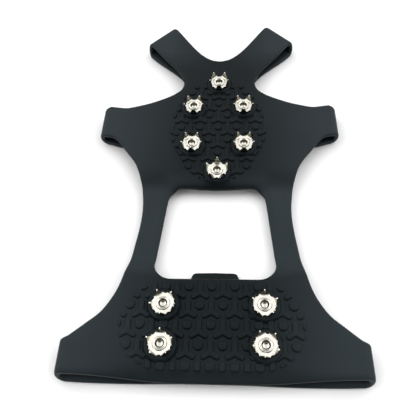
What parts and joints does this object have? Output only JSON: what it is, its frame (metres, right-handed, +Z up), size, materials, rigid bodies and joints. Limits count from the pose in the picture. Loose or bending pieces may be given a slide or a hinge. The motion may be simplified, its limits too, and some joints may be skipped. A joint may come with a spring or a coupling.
{
  "type": "shoe ice cleat",
  "caption": "Slip-on stretch rubber ice cleat for a shoe, with clinched star-claw studs, arch window and straps folded under the sole.",
  "frame": {"origin": "middle of the outline, on the surface that the folded straps lie on", "axes": "+X across the foot, +Y from the heel to the toe, +Z up through the studs"},
  "size_m": [0.116, 0.1909, 0.0121],
  "materials": {
    "rubber": "matte moulded stretch rubber, near black with a cool grey cast",
    "nickel_claw": "bright nickel plate on pressed steel",
    "nickel_rivet": "bright nickel plate on drawn steel",
    "steel_washer": "zinc plated steel"
  },
  "bodies": {
    "heel_sole": {"heel_sole": "rubber", "claw_plate_heel_1": "nickel_claw", "claw_plate_heel_2": "nickel_claw", "claw_plate_heel_3": "nickel_claw", "claw_plate_heel_4": "nickel_claw", "rivet_heel_1": "nickel_rivet", "rivet_heel_2": "nickel_rivet", "rivet_heel_3": "nickel_rivet", "rivet_heel_4": "nickel_rivet", "washer_heel_1": "steel_washer", "washer_heel_2": "steel_washer", "washer_heel_3": "steel_washer", "washer_heel_4": "steel_washer"},
    "forefoot_sole": {"forefoot_sole": "rubber", "claw_plate_fore_1": "nickel_claw", "claw_plate_fore_2": "nickel_claw", "claw_plate_fore_3": "nickel_claw", "claw_plate_fore_4": "nickel_claw", "claw_plate_fore_5": "nickel_claw", "claw_plate_fore_6": "nickel_claw", "rivet_fore_1": "nickel_rivet", "rivet_fore_2": "nickel_rivet", "rivet_fore_3": "nickel_rivet", "rivet_fore_4": "nickel_rivet", "rivet_fore_5": "nickel_rivet", "rivet_fore_6": "nickel_rivet", "washer_fore_1": "steel_washer", "washer_fore_2": "steel_washer", "washer_fore_3": "steel_washer", "washer_fore_4": "steel_washer", "washer_fore_5": "steel_washer", "washer_fore_6": "steel_washer"},
    "toe_cross_strap": {"toe_cross_strap": "rubber"},
    "heel_band": {"heel_band": "rubber"}
  },
  "joints": [
    {"name": "arch_flex", "type": "hinge", "parent": "heel_sole", "child": "forefoot_sole", "pos_m": [0, -0.038, 0.0059], "axis": [-1, 0, 0], "range_deg": [-30, 60], "stiffness_Nm_per_rad": 0.5},
    {"name": "toe_strap_lift", "type": "hinge", "parent": "forefoot_sole", "child": "toe_cross_strap", "pos_m": [0, 0.0955, 0.0035], "axis": [1, 0, 0], "range_deg": [0, 35], "stiffness_Nm_per_rad": 0.3},
    {"name": "heel_band_lift", "type": "hinge", "parent": "heel_sole", "child": "heel_band", "pos_m": [0, -0.0955, 0.0035], "axis": [-1, 0, 0], "range_deg": [0, 95], "stiffness_Nm_per_rad": 0.2}
  ]
}
